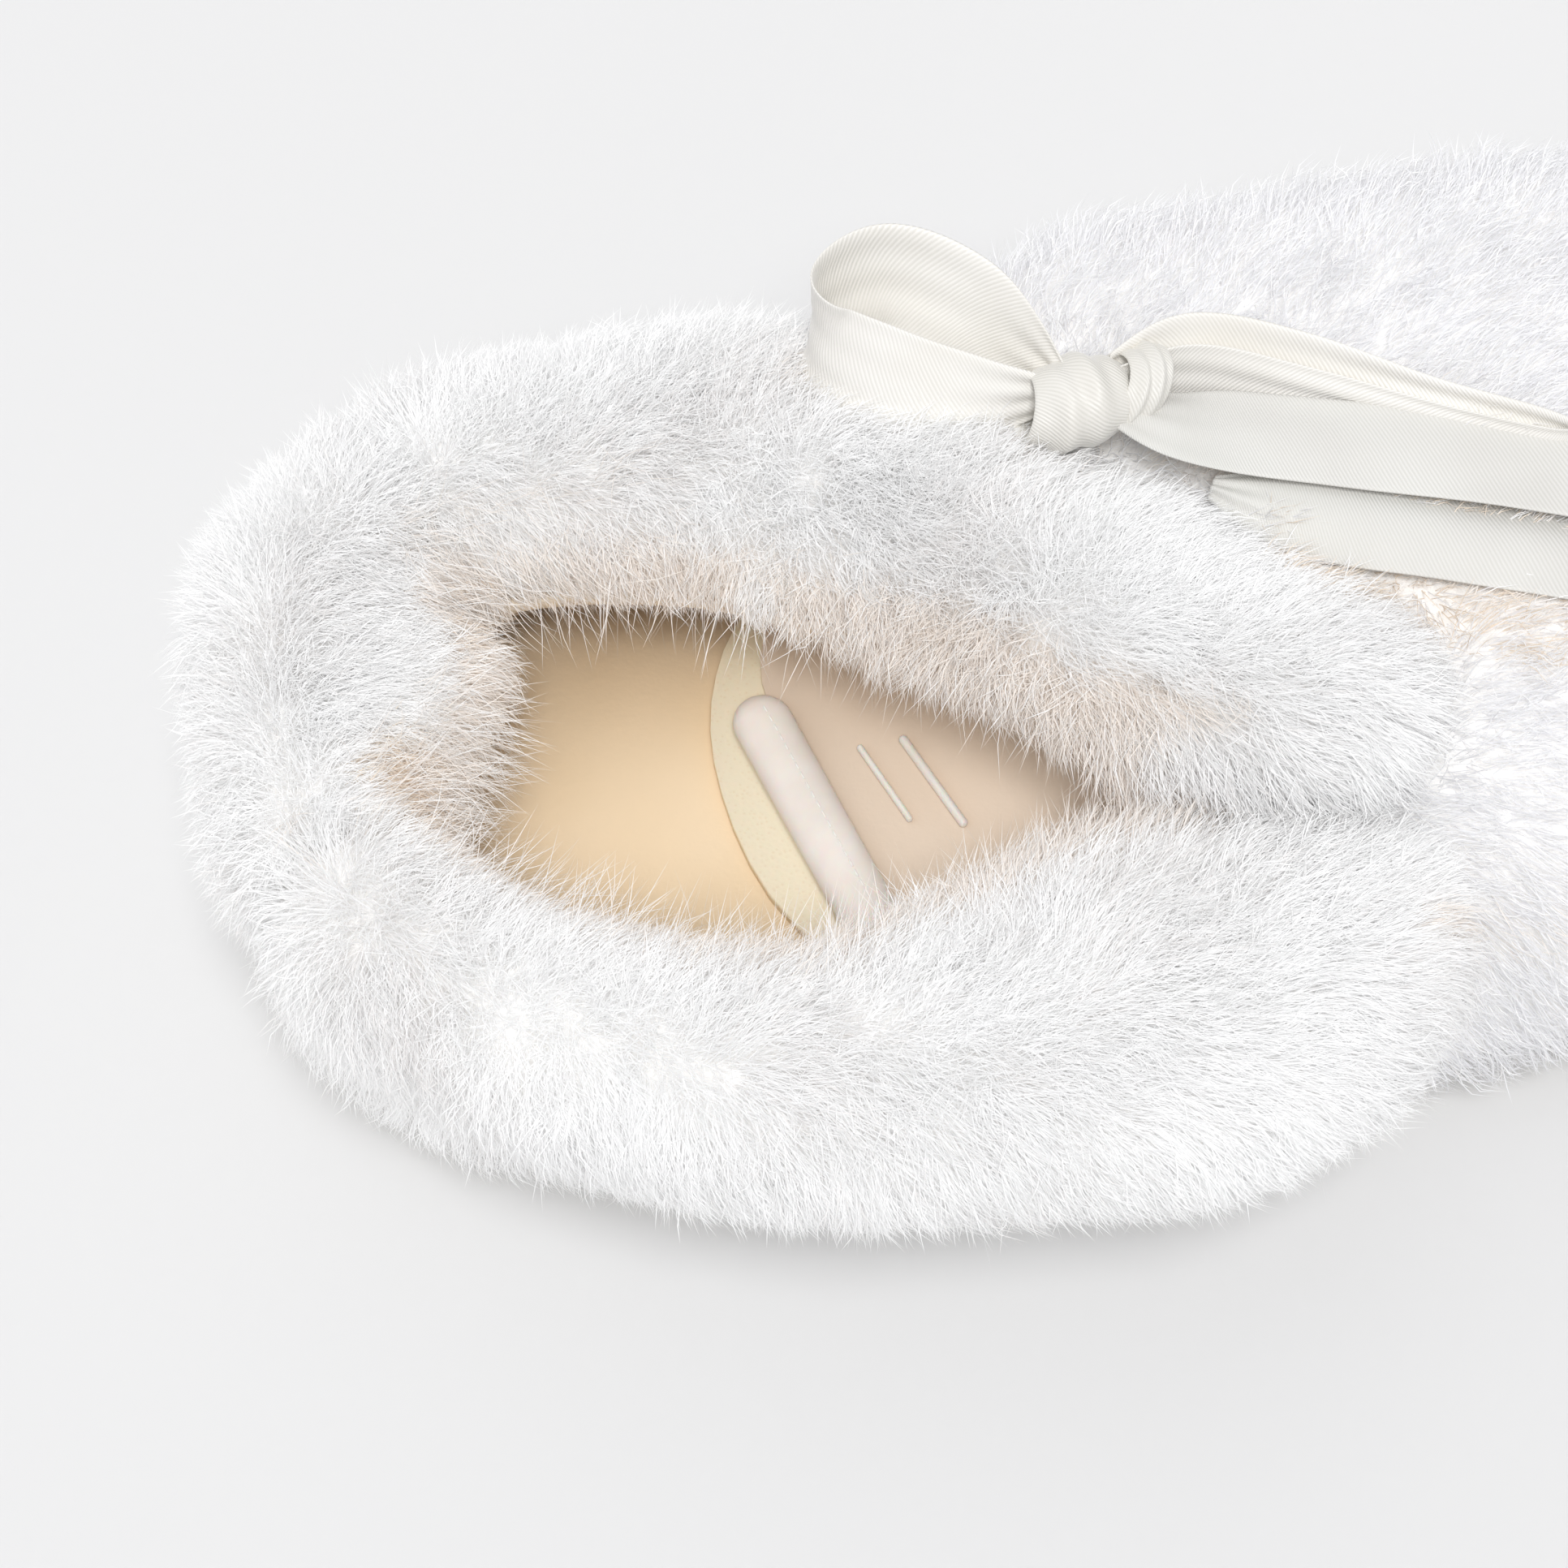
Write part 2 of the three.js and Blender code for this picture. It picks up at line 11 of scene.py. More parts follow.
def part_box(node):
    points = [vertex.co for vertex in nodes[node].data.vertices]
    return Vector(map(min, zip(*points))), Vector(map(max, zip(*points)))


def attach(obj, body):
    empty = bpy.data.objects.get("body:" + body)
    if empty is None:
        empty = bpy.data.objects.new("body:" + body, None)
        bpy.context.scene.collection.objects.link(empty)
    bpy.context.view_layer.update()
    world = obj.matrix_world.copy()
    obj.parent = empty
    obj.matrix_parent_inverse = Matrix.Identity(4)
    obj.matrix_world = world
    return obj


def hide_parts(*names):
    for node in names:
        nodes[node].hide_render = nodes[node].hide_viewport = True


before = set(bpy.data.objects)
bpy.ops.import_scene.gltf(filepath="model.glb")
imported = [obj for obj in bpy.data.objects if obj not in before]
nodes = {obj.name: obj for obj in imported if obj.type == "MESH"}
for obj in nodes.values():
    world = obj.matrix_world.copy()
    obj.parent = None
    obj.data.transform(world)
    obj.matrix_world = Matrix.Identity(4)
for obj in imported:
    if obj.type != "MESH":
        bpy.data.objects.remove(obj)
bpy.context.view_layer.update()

# Fluffy house slipper for the left foot: pile, satin bow, footbed and sole.
# Every length below is in metres unless its name says millimetres.
MM = 0.001
RANDOM_SEED = 4107
# Corners of a CAD node's loose triangles nearer than this are one point.
SAME_POINT = 0.002 * MM

# ---- Fur pile ----

PILE_WIDTH = 0.13 * MM
# Faces of a skin with another part nearer than this in front of them carry no pile.
HIDDEN_GAP = 1.6 * MM
LOCK_SPACING = 2.6 * MM
# Extra share of hairs where a skin faces straight up and the pile parts.
CROWN_DENSITY = 0.5
# Hairs this near the lower ribbon tail take the tan tone, painted shade under the tail. Their share
# falls to nothing between these two places along the slipper.
TAN_SHADE_REACH = 6.5 * MM
TAN_SHADE_SHARE = 0.55
TAN_SHADE_FADE = (8 * MM, 34 * MM)
STRANDS_PER_PIECE = 62000
# Each skin: strands in thousands, and the pile's length in millimetres.
PELTS = {
    "cuff_medial": (76, 8.5),
    "cuff_lateral": (76, 8.5),
    "cuff_heel": (40, 8.5),
    "quarter_medial": (22, 7),
    "quarter_lateral": (22, 7),
    "vamp_fur": (124, 7),
}
# Line down the middle of the opening, from the heel to the throat.
MOUTH_LINE = np.array([[-92, 4, 45], [-22, -10, 45]]) * MM
# Share by which the pile that faces the opening is shorter at the heel, and longer at the throat.
HEEL_SHORTENING = 0.5
THROAT_LENGTHENING = 0.45
# Seams at the two ends of the heel tuft, where the pile is short and its hairs take the tan tone, painted
# shade in the parted pile.
TUFT_NOTCHES = np.array([[-103, -1, 47], [-97, -6, 46], [-92, 21, 48]]) * MM
NOTCH_REACH = 7 * MM
GUARD_HAIRS = {"cuff_medial": 1300, "cuff_lateral": 1300, "cuff_heel": 900}
GUARD_LENGTH = 11.5 * MM
# The pile lies downhill off the roll and towards the toe, more so from the first of these
# places along the slipper to the second.
DOWNHILL_PULL = 0.75
TOEWARDS_PULL = (0.5, 0.9)
TOEWARDS_PLACES = (-70 * MM, -10 * MM)
# Share by which single hairs stray from the lie, and how far they rise from the skin.
STRAY = 0.4
RISE = 0.48
RISE_SPREAD = 0.1
# Locks: hairs for each leading hair, and how strongly its tip draws them.
HAIRS_PER_LOCK = 26
LOCK_PULL = (0.1, 0.45)
# A skin this far from the next part has room for its pile to stand up.
STANDING_ROOM = 5 * MM
# Whatever a hair tip has straight below it under this level is the inside of the slipper.
FOOTBED_LEVEL = 31 * MM
FARTHEST_LOOK = 20 * MM
RIBBON_CLEARANCE = 15 * MM

# ---- Small helpers ----


def linear(hex_colour):
    """An sRGB hex colour as linear RGBA."""
    value = int(hex_colour.lstrip("#"), 16)
    channels = [((value >> shift) & 255) / 255 for shift in (16, 8, 0)]
    return [c / 12.92 if c <= 0.04045 else ((c + 0.055) / 1.055) ** 2.4 for c in channels] + [1]


def node(tree, kind, settings=None, stops=(), **links):
    """Adds a shader node with its settings, a ramp's (position, hex colour) stops and its links."""
    made = tree.nodes.new(kind)
    for name, value in (settings or {}).items():
        if name in made.inputs.keys():
            made.inputs[name].default_value = value
        else:
            setattr(made, name, value)
    for element, (position, colour) in zip(made.color_ramp.elements if stops else (), stops):
        element.position = position
        element.color = linear(colour)
    for name, source in links.items():
        tree.links.new(source, made.inputs[name.replace("_", " ")])
    return made


def material(name, **shader):
    """A new material with a Principled shader whose sockets are set by name."""
    made = bpy.data.materials.new(name)
    made.use_nodes = True
    principled = made.node_tree.nodes["Principled BSDF"]
    for socket, value in shader.items():
        principled.inputs[socket.replace("_", " ")].default_value = value
    return made, made.node_tree, principled


def dressed(tree, principled, colour, relief, depth, strength=1.0):
    """Gives a shader its colour pattern and a surface relief of the given depth."""
    tree.links.new(colour, principled.inputs["Base Color"])
    surface = node(
        tree, "ShaderNodeBump", {"Distance": depth, "Strength": strength}, Height=relief)
    tree.links.new(surface.outputs["Normal"], principled.inputs["Normal"])


def merged_copy(node_name):
    """A bmesh copy of a CAD node with its loose triangles joined."""
    made = bmesh.new()
    made.from_mesh(nodes[node_name].data)
    bmesh.ops.remove_doubles(made, verts=made.verts, dist=SAME_POINT)
    return made


def finished(made, name, materials):
    """Turns a bmesh into a piece of the object that rides on its one body."""
    mesh = bpy.data.meshes.new(name)
    made.to_mesh(mesh)
    made.free()
    return placed(mesh, name, materials)


def placed(mesh, name, materials):
    """Puts a mesh in the scene as a smooth piece that rides on the slipper's one body."""
    piece = bpy.data.objects.new(name, mesh)
    bpy.context.scene.collection.objects.link(piece)
    for each in materials:
        mesh.materials.append(each)
    mesh.shade_smooth()
    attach(piece, "root")
    return piece


def smoothed(piece, levels):
    """Finishes a piece with a live Subdivision Surface."""
    modifier = piece.modifiers.new("Rounded", "SUBSURF")
    modifier.levels = modifier.render_levels = levels
    return piece


# ---- Materials ----


# Share of each finer layer of noise in every grain and mottle.
GRAININESS = 0.55


def faux_fur_skin():
    """Knitted backing seen between the hairs: soft white, mottled every 4 mm, with 0.7 mm stitches."""
    made, tree, principled = material("fur_backing", Roughness=0.95, Sheen_Weight=0.3)
    place = node(tree, "ShaderNodeTexCoord").outputs["Object"]
    mottle = node(
        tree, "ShaderNodeTexNoise",
        {"Scale": 1 / (4.17 * MM), "Detail": 3.0, "Roughness": GRAININESS}, Vector=place)
    knit = node(
        tree, "ShaderNodeTexNoise",
        {"Scale": 1 / (0.714 * MM), "Detail": 3.0, "Roughness": GRAININESS}, Vector=place)
    base = node(
        tree, "ShaderNodeValToRGB", stops=[(0.3, "#fbf9f6"), (0.7, "#fefdfc")],
        Fac=mottle.outputs["Fac"])
    dressed(tree, principled, base.outputs["Color"], knit.outputs["Fac"], 0.3 * MM)
    return made


def faux_fur_hair(name, colour):
    """One tone of the acrylic pile, its own white for some and painted shade for others: matt, with a faint
    sheen along its edge.
    """
    return material(
        name, Base_Color=linear(colour), Roughness=0.75, Sheen_Weight=0.15)[0]


def satin(name, light, shade):
    """Polyester satin: a soft lengthwise gleam over a fine slanting weave.

    The weave follows the ribbon's own UV map, which is in metres.
    """
    made, tree, principled = material(
        name, Roughness=0.42, Sheen_Weight=0.35, Sheen_Roughness=0.35, Anisotropic=0.5)
    cloth = node(tree, "ShaderNodeUVMap", {"uv_map": "ribbon"}).outputs["UV"]
    place = node(tree, "ShaderNodeTexCoord").outputs["Object"]
    painted_fold_sheen = node(
        tree, "ShaderNodeTexNoise",
        {"Scale": 1 / (16.7 * MM), "Detail": 2.0, "Roughness": GRAININESS}, Vector=place)
    # Real satin has a thread every 0.1 mm; it is drawn every 0.4 mm so that it shows.
    thread_spacing = 0.4 * MM
    turned = node(
        tree, "ShaderNodeMapping",
        {"Rotation": (0, 0, math.radians(32)), "Scale": (1 / thread_spacing, 1 / thread_spacing, 1)},
        Vector=cloth)
    # The wave node takes the sine of 20 times the place, so this makes one band for each thread.
    weave = node(
        tree, "ShaderNodeTexWave", {"Scale": math.tau / 20, "Distortion": 0.6, "Detail": 1.0},
        Vector=turned.outputs["Vector"])
    # Painted sheen and shade: the colour turns lighter and darker over 17 mm patches, as light does over
    # folds.
    sheen = node(
        tree, "ShaderNodeValToRGB", stops=[(0.3, shade), (0.65, light)], Fac=painted_fold_sheen.outputs["Fac"])
    gaps = node(
        tree, "ShaderNodeValToRGB", stops=[(0.0, "#f3f3f1"), (0.7, "#ffffff")],
        Fac=weave.outputs["Fac"])
    threads = node(
        tree, "ShaderNodeMixRGB", {"blend_type": "MULTIPLY", "Fac": 1.0},
        Color1=sheen.outputs["Color"], Color2=gaps.outputs["Color"])
    dressed(tree, principled, threads.outputs["Color"], weave.outputs["Fac"], 0.06 * MM, 0.7)
    return made


def brushed_tricot(name, light, dark, stitch_mm=1.11):
    """Tricot cloth: close matt knit, mottled every 38 mm where feet and handling have pressed it."""
    made, tree, principled = material(name, Roughness=0.62, Sheen_Weight=0.25)
    place = node(tree, "ShaderNodeTexCoord").outputs["Object"]
    wear = node(
        tree, "ShaderNodeTexNoise",
        {"Scale": 1 / (38.5 * MM), "Detail": 2.0, "Roughness": GRAININESS}, Vector=place)
    knit = node(
        tree, "ShaderNodeTexNoise",
        {"Scale": 1 / (stitch_mm * MM), "Detail": 2.0, "Roughness": GRAININESS}, Vector=place)
    base = node(
        tree, "ShaderNodeValToRGB", stops=[(0.32, dark), (0.68, light)], Fac=wear.outputs["Fac"])
    dressed(tree, principled, base.outputs["Color"], knit.outputs["Fac"], 0.08 * MM, 0.5)
    return made


def open_cell_foam(name, light, dark):
    """Cut polyurethane foam: pale, with open pores drawn every 0.6 mm."""
    made, tree, principled = material(name, Roughness=0.9, Subsurface_Weight=0.1)
    principled.inputs["Subsurface Scale"].default_value = 1 * MM
    place = node(tree, "ShaderNodeTexCoord").outputs["Object"]
    pores = node(tree, "ShaderNodeTexVoronoi", {"Scale": 1 / (0.625 * MM)}, Vector=place)
    base = node(
        tree, "ShaderNodeValToRGB", stops=[(0.05, dark), (0.35, light)],
        Fac=pores.outputs["Distance"])
    dressed(tree, principled, base.outputs["Color"], pores.outputs["Distance"], 0.05 * MM, 0.3)
    return made


def cast_silicone():
    """Milky cast silicone: clouded every 6 mm, with a soft wet gleam over 2 mm ripples."""
    made, tree, principled = material(
        "milky_silicone", Roughness=0.42, IOR=1.41, Subsurface_Weight=0.5, Coat_Weight=0.15,
        Coat_Roughness=0.3)
    principled.inputs["Subsurface Scale"].default_value = 2 * MM
    place = node(tree, "ShaderNodeTexCoord").outputs["Object"]
    cloud = node(
        tree, "ShaderNodeTexNoise",
        {"Scale": 1 / (5.56 * MM), "Detail": 2.0, "Roughness": GRAININESS}, Vector=place)
    ripples = node(
        tree, "ShaderNodeTexNoise",
        {"Scale": 1 / (2 * MM), "Detail": 1.0, "Roughness": GRAININESS}, Vector=place)
    base = node(
        tree, "ShaderNodeValToRGB", stops=[(0.3, "#e4ded7"), (0.7, "#ece7e1")],
        Fac=cloud.outputs["Fac"])
    dressed(tree, principled, base.outputs["Color"], ripples.outputs["Fac"], 0.05 * MM, 0.4)
    return made


def moulded_rubber(name, light, dark):
    """Moulded rubber or foam: matt, with a 0.9 mm grain that is a little darker in its pits."""
    made, tree, principled = material(name, Roughness=0.6)
    place = node(tree, "ShaderNodeTexCoord").outputs["Object"]
    grain = node(
        tree, "ShaderNodeTexNoise",
        {"Scale": 1 / (0.909 * MM), "Detail": 4.0, "Roughness": GRAININESS}, Vector=place)
    base = node(
        tree, "ShaderNodeValToRGB", stops=[(0.35, dark), (0.6, light)], Fac=grain.outputs["Fac"])
    dressed(tree, principled, base.outputs["Color"], grain.outputs["Fac"], 0.12 * MM, 0.6)
    return made


def pressed_board():
    """Pressed cellulose insole board: brown, with pale fibres about 3.3 mm long and 0.7 mm wide."""
    made, tree, principled = material("pressed_board", Roughness=0.88)
    place = node(tree, "ShaderNodeTexCoord").outputs["Object"]
    stretched = node(tree, "ShaderNodeMapping", {"Scale": (300, 1500, 1500)}, Vector=place)
    fibres = node(
        tree, "ShaderNodeTexNoise", {"Scale": 1.0, "Detail": 3.0, "Roughness": GRAININESS},
        Vector=stretched.outputs["Vector"])
    base = node(
        tree, "ShaderNodeValToRGB", stops=[(0.35, "#a88a64"), (0.7, "#c4a982")],
        Fac=fibres.outputs["Fac"])
    dressed(tree, principled, base.outputs["Color"], fibres.outputs["Fac"], 0.1 * MM, 0.5)
    return made


def studio_paper():
    """Seamless white paper of the studio floor, with a faint cloudiness every 250 mm."""
    made, tree, principled = material("studio_paper", Roughness=0.95)
    principled.inputs["Specular IOR Level"].default_value = 0.1
    place = node(tree, "ShaderNodeTexCoord").outputs["Object"]
    cloud = node(
        tree, "ShaderNodeTexNoise",
        {"Scale": 1 / (250 * MM), "Detail": 1.0, "Roughness": GRAININESS}, Vector=place)
    base = node(
        tree, "ShaderNodeValToRGB", stops=[(0.3, "#e0e0e0"), (0.7, "#e1e1e1")],
        Fac=cloud.outputs["Fac"])
    tree.links.new(base.outputs["Color"], principled.inputs["Base Color"])
    return made


fur_backing = faux_fur_skin()
# Hair tones: painted shade, painted warm shade, pearl and white, painted tan shade, and the painted cool
# shade of the vamp.
hair_tones = [
    faux_fur_hair("fur_hair_shade", "#f7f5f4"),
    faux_fur_hair("fur_hair_warm_shade", "#f8f2ec"),
    faux_fur_hair("fur_hair_pearl", "#fbfbfb"),
    faux_fur_hair("fur_hair_white", "#fefefe"),
    faux_fur_hair("fur_hair_tan_shade", "#f1e4d4"),
    faux_fur_hair("fur_hair_cool_shade", "#f1f1f3"),
]
SHADE, WARM_SHADE, PEARL, WHITE, TAN_SHADE, COOL_SHADE = range(6)
# One satin in three painted brightnesses: the darkest paints shade on the tails and knot, the lightest
# paints light on the loops, the middle one the knot wraps.
satin_shaded_copy = satin("satin_shaded_copy", "#e5e4e0", "#dedcd8")
satin_lit_copy = satin("satin_lit_copy", "#f8f6f2", "#f2efe9")
satin_half_lit_copy = satin("satin_half_lit_copy", "#edebe6", "#e6e3dc")
tan_tricot = brushed_tricot("tan_tricot", "#f1dbbb", "#e8cfa9")
lining_tricot = brushed_tricot("lining_tricot", "#efd9b9", "#e5cba6")
beige_cover = brushed_tricot("beige_pad_cover", "#efdecb", "#e6d3be")
binding_tape = brushed_tricot("binding_tape", "#fbf1e0", "#f5e6cf", 0.667)
yellow_foam = open_cell_foam("yellow_foam", "#fdf1d6", "#f9e9cb")
footbed_foam = open_cell_foam("footbed_foam", "#f2e6cf", "#e0d0b2")
fibre_fill = open_cell_foam("fibre_fill", "#f4f2ec", "#e4e1d8")
silicone = cast_silicone()
sole_rubber = moulded_rubber("sole_rubber", "#e9e6df", "#d6d2c9")
midsole_eva = moulded_rubber("midsole_eva", "#f3f0ea", "#e7e3db")
rand_cloth = brushed_tricot("rand_cloth", "#f0ede6", "#e4e0d6", 0.769)
insole_board = pressed_board()
thread = brushed_tricot("polyester_thread", "#fbfaf7", "#f1efe9", 0.167)

# ---- Rigid and lined parts carried over from the CAD ----

CARRIED = {
    "outsole": sole_rubber,
    "midsole": midsole_eva,
    "midsole_wrap": rand_cloth,
    "insole_board": insole_board,
    "heel_counter": insole_board,
    "toe_puff": insole_board,
}
for name, finish in CARRIED.items():
    mesh = nodes[name].data
    for index in range(len(mesh.materials)):
        mesh.materials[index] = finish


def soft_copy(node_name, name, finish, levels=0):
    """A soft CAD solid as a padded piece, rounded by the given levels of subdivision."""
    made = merged_copy(node_name)
    piece = finished(made, name, [finish])
    if levels:
        smoothed(piece, levels)
    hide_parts(node_name)
    return piece


soft_copy("footbed_foam", "footbed_cushion", footbed_foam)
soft_copy("comfort_pad_foam", "instep_pad_foam", yellow_foam)
soft_copy("cuff_padding", "cuff_filling", fibre_fill, 1)
soft_copy("footbed_sock", "footbed_sock_cloth", tan_tricot)
soft_copy("comfort_pad_cover", "instep_pad_cover", beige_cover)
soft_copy("quarter_lining", "quarter_lining_cloth", lining_tricot)
soft_copy("vamp_lining", "vamp_lining_cloth", lining_tricot)
soft_copy("collar_binding", "collar_binding_tape", binding_tape)


def capsule(made, start, end, half_width, half_height, sides=24):
    """Adds a round-ended bar of oval section between two points to a bmesh."""
    ball = bmesh.ops.create_uvsphere(made, u_segments=sides, v_segments=sides // 2, radius=1)["verts"]
    run = end - start
    turn = run.to_track_quat("Z", "Y").to_matrix()
    for vertex in ball:
        far = vertex.co.z > 0
        shape = Vector((vertex.co.x * half_width, vertex.co.y * half_height, vertex.co.z * half_width))
        vertex.co = turn @ shape + (end if far else start)


def grip_strip(node_name, name, line_mm, half_width, half_height):
    """A moulded silicone strip with round ends and a flat underside, which lies where its CAD node lies."""
    low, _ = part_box(node_name)
    ends = [Vector((x * MM, y * MM, low.z + 0.3 * half_height)) for x, y in line_mm]
    along = (ends[1] - ends[0]).normalized() * half_width
    made = bmesh.new()
    capsule(made, ends[0] + along, ends[1] - along, half_width, half_height)
    for vertex in made.verts:
        vertex.co.z = max(vertex.co.z, low.z)
    piece = finished(made, name, [silicone])
    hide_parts(node_name)
    return ends


bar_ends = grip_strip("grip_bar", "silicone_bar", [(-62, 14), (-51, -20)], 3.5 * MM, 2.1 * MM)
grip_strip("grip_rib_rear", "silicone_rib_rear", [(-50.5, 6.5), (-46, -4)], 0.4 * MM, 0.5 * MM)
grip_strip("grip_rib_front", "silicone_rib_front", [(-45.5, 7), (-40, -5.5)], 0.55 * MM, 0.6 * MM)


# The row of stitches: its shift from the bar's ends, and the share of each pitch that is thread.
STITCH_LINE = Vector((0.6 * MM, 0, 2.06 * MM))
STITCH_COUNT = 26
STITCH_SHARE = 0.56


def bar_stitching_gleam():
    """A row of fine white stitches set in the top of the bar, which also paint its dotted gleam."""
    made = bmesh.new()
    start, end = (point + STITCH_LINE for point in bar_ends)
    half = (end - start) / STITCH_COUNT * STITCH_SHARE / 2
    for index in range(2, STITCH_COUNT - 2):
        middle = start.lerp(end, index / STITCH_COUNT)
        capsule(made, middle - half, middle + half, 0.12 * MM, 0.1 * MM, 6)
    return finished(made, "silicone_bar_stitching_gleam", [thread])


bar_stitching_gleam()

# ---- Fur ----


def tree_of(names):
    """One ray-casting tree over several CAD nodes."""
    points, faces = [], []
    for name in names:
        start = len(points)
        mesh = nodes[name].data
        points += [v.co.copy() for v in mesh.vertices]
        faces += [[start + i for i in p.vertices] for p in mesh.polygons]
    return BVHTree.FromPolygons(points, faces)


solid_parts = tree_of([name for name in nodes if not name.startswith("ribbon")])
ribbon_parts = tree_of([name for name in nodes if name.startswith("ribbon")])


def waves(points, length, seed, count=7):
    """Smooth random vectors over space, with about the given wavelength."""
    random = np.random.default_rng(seed)
    total = np.zeros_like(points)
    for _ in range(count):
        heading = random.normal(size=3)
        heading *= math.tau / length / np.linalg.norm(heading) * random.uniform(0.6, 1.4)
        phase = random.uniform(0, math.tau, 3)
        total += np.sin((points @ heading)[:, None] + phase)
    return total / math.sqrt(count)


def unit(vectors):
    """Each row as a vector of length one."""
    return vectors / np.maximum(np.linalg.norm(vectors, axis=1, keepdims=True), 1e-9)


def roots_on(mesh, count, random):
    """Random points over the open faces of a skin, with their face normals and room in front."""
    corners = np.array([[mesh.vertices[i].co for i in p.vertices] for p in mesh.polygons])
    normals = np.array([p.normal for p in mesh.polygons])
    areas = np.array([p.area for p in mesh.polygons])
    room = np.array([free_room(p.center, p.normal) for p in mesh.polygons])
    areas[room < HIDDEN_GAP] = 0
    areas *= 1 + CROWN_DENSITY * np.clip(normals[:, 2], 0, 1) ** 4
    chosen = random.choice(len(areas), count, p=areas / areas.sum())
    a, b = random.random((2, count, 1))
    flip = a + b > 1
    a, b = np.where(flip, 1 - a, a), np.where(flip, 1 - b, b)
    first, second, third = (corners[chosen, i] for i in range(3))
    points = first + (second - first) * a + (third - first) * b
    return points, normals[chosen], room[chosen]


def free_room(point, normal):
    """How far a face can see along its normal, up to FARTHEST_LOOK."""
    start = point + normal * 0.05 * MM
    _, _, _, distance = solid_parts.ray_cast(start, normal, FARTHEST_LOOK)
    return FARTHEST_LOOK if distance is None else distance


def smooth_normals(mesh, points, flat):
    """Vertex normals of the skin carried to the root points, so that the pile turns evenly."""
    finder = KDTree(len(mesh.vertices))
    for index, vertex in enumerate(mesh.vertices):
        finder.insert(vertex.co, index)
    finder.balance()
    blended = np.empty_like(flat)
    for row, point in enumerate(points):
        total = Vector((0, 0, 0))
        for _, index, distance in finder.find_n(point, 4):
            normal = mesh.vertices[index].normal
            if normal.dot(Vector(flat[row])) > 0.2:
                total += normal / (distance + 0.5 * MM)
        blended[row] = total if total.length > 0 else flat[row]
    return unit(unit(blended) + 0.3 * flat)


def combed(points, normals, random):
    """The way the pile lies: forwards and downwards off the roll, in loose locks."""
    downhill = np.array([0.0, 0.0, -1.0]) - normals * (-normals[:, 2:3])
    forwards = np.array([1.0, 0.0, 0.0]) - normals * normals[:, 0:1]
    first, last = TOEWARDS_PLACES
    least, most = TOEWARDS_PULL
    ahead = np.clip((points[:, 0:1] - first) / (last - first), 0, 1)
    lie = DOWNHILL_PULL * downhill + (least + (most - least) * ahead) * forwards
    lie += 0.14 * waves(points, 34 * MM, 11) + 0.2 * waves(points, 9 * MM, 12)
    lie += STRAY * random.normal(size=points.shape)
    return lie - normals * (lie * normals).sum(1, keepdims=True)


def facing_mouth(points, normals):
    """How squarely each root looks into the opening, from 0 to 1, and its place from heel to throat."""
    start, end = MOUTH_LINE
    run = end - start
    share = np.clip(((points - start) @ run) / (run @ run), 0, 1)[:, None]
    inwards = unit((start + run * share - points) * [1, 1, 0])
    return np.clip((inwards * normals).sum(1, keepdims=True), 0, 1), share


def drawn_into_locks(roots, tips, random):
    """Moves tips towards the tip of the nearest lock's leading hair."""
    leaders = random.choice(len(roots), max(8, len(roots) // HAIRS_PER_LOCK), replace=False)
    finder = KDTree(len(leaders))
    for row in leaders:
        finder.insert(roots[row], int(row))
    finder.balance()
    nearest = np.array([finder.find(root)[1] for root in roots])
    pull = random.uniform(*LOCK_PULL, (len(roots), 1))
    gap = np.linalg.norm(roots - roots[nearest], axis=1, keepdims=True)
    pull *= np.clip(1.6 - gap / LOCK_SPACING, 0, 1)
    return tips + (tips[nearest] - roots[nearest] + roots * 0.35 + roots[nearest] * 0.65 - tips) * pull


def clear_of_ribbon(roots, tips):
    """Share of each hair's length that is free of the satin."""
    share = np.ones(len(roots))
    low, high = ribbon_reach
    near = np.all((roots > low) & (roots < high), axis=1)
    for row in np.nonzero(near)[0]:
        start, end = Vector(roots[row]), Vector(tips[row])
        hit = ribbon_parts.ray_cast(start, (end - start).normalized(), (end - start).length)
        if hit[0] is not None:
            share[row] = max(0.08, 0.8 * hit[3] / (end - start).length)
    return share[:, None]


ribbon_corners = np.array(
    [corner for name in nodes if name.startswith("ribbon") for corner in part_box(name)])
ribbon_reach = ribbon_corners.min(0) - RIBBON_CLEARANCE, ribbon_corners.max(0) + RIBBON_CLEARANCE


def over_mouth(points):
    """True for points that are above the open footbed rather than above fur."""
    seen = []
    for point in points:
        hit = solid_parts.ray_cast(Vector(point), Vector((0, 0, -1)), 60 * MM)
        seen.append(hit[0] is not None and hit[0].z < FOOTBED_LEVEL)
    return np.array(seen)


def nearest_notch(points):
    """Distance from each point to the nearer seam of the heel tuft."""
    return np.min([np.linalg.norm(points - notch, axis=1) for notch in TUFT_NOTCHES], axis=0)


def near_tail(points):
    """True for roots beside the lower ribbon tail."""
    mesh = nodes["ribbon_tail_lower"].data
    finder = KDTree(len(mesh.vertices))
    for index, vertex in enumerate(mesh.vertices):
        finder.insert(vertex.co, index)
    finder.balance()
    return np.array([finder.find(point)[2] < TAN_SHADE_REACH for point in points])


def tones_of(roots, tips, random):
    """A tone for every hair, patchy over the cuff, with painted warm shade where it leans over the opening.
    """
    patch = waves(roots, 22 * MM, 21)[:, 0] * 0.5 + random.normal(size=len(roots)) * 0.6
    tone = np.where(patch > 0.1, WHITE, PEARL)
    tone[patch < -1.0] = SHADE
    # Tips over the opening take the warm tone: painted shade tinted by the tan inside.
    warm_shade_tips = over_mouth(tips) & (random.random(len(roots)) < 0.75)
    tone[warm_shade_tips] = WARM_SHADE
    return tone


